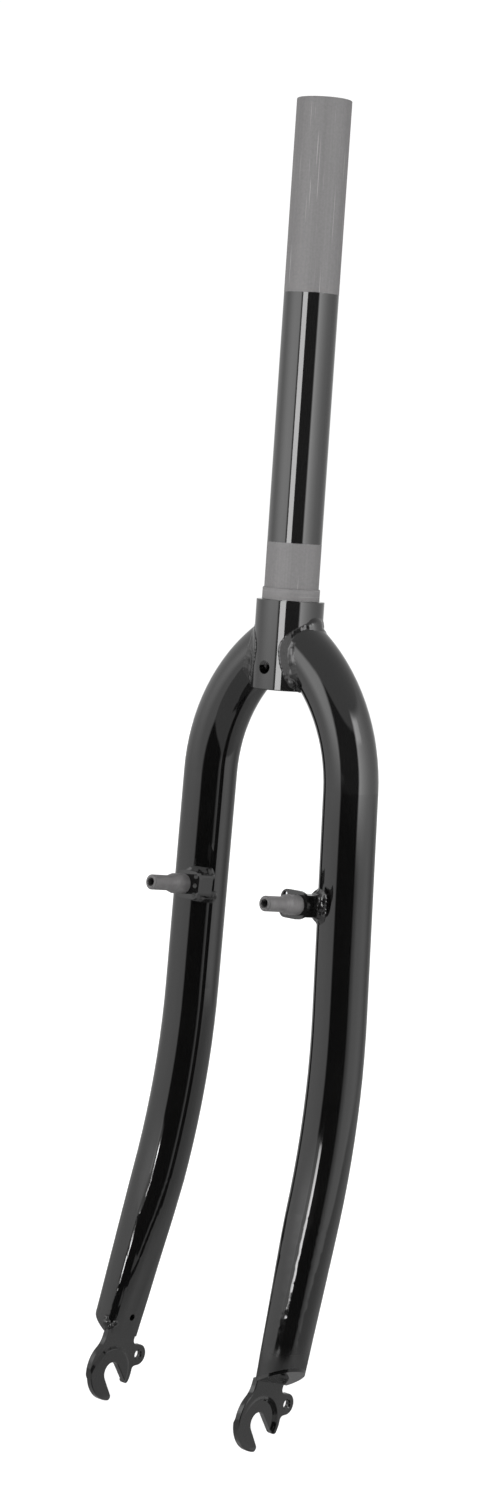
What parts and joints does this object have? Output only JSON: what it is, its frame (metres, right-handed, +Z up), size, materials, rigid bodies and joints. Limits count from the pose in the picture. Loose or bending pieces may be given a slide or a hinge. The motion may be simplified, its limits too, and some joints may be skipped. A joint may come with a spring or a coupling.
{
  "type": "rigid bicycle fork",
  "caption": "Rigid steel bicycle fork with a straight steerer, bent round blades, slotted dropouts with eyelets and threaded rim-brake studs.",
  "frame": {"origin": "on the steerer axis, at the shoulder of the crown sleeve that the crown race sits on", "axes": "+Z up the steerer, +X to the rider's left, -Y forward, the way the blades rake"},
  "size_m": [0.1396, 0.0788, 0.6913],
  "materials": {
    "bare_steel": "bare, fine lengthwise scratches",
    "black_paint": "gloss"
  },
  "bodies": {
    "root": {"steerer_tube": "bare_steel", "crown_sleeve": "black_paint", "blade_left": "black_paint", "blade_right": "black_paint", "blade_cap_left": "black_paint", "blade_cap_right": "black_paint", "dropout_left": "black_paint", "dropout_right": "black_paint", "brake_boss_left": "black_paint", "brake_boss_right": "black_paint", "spring_plate_left": "black_paint", "spring_plate_right": "black_paint", "brake_stud_left": "bare_steel", "brake_stud_right": "bare_steel"}
  },
  "joints": []
}
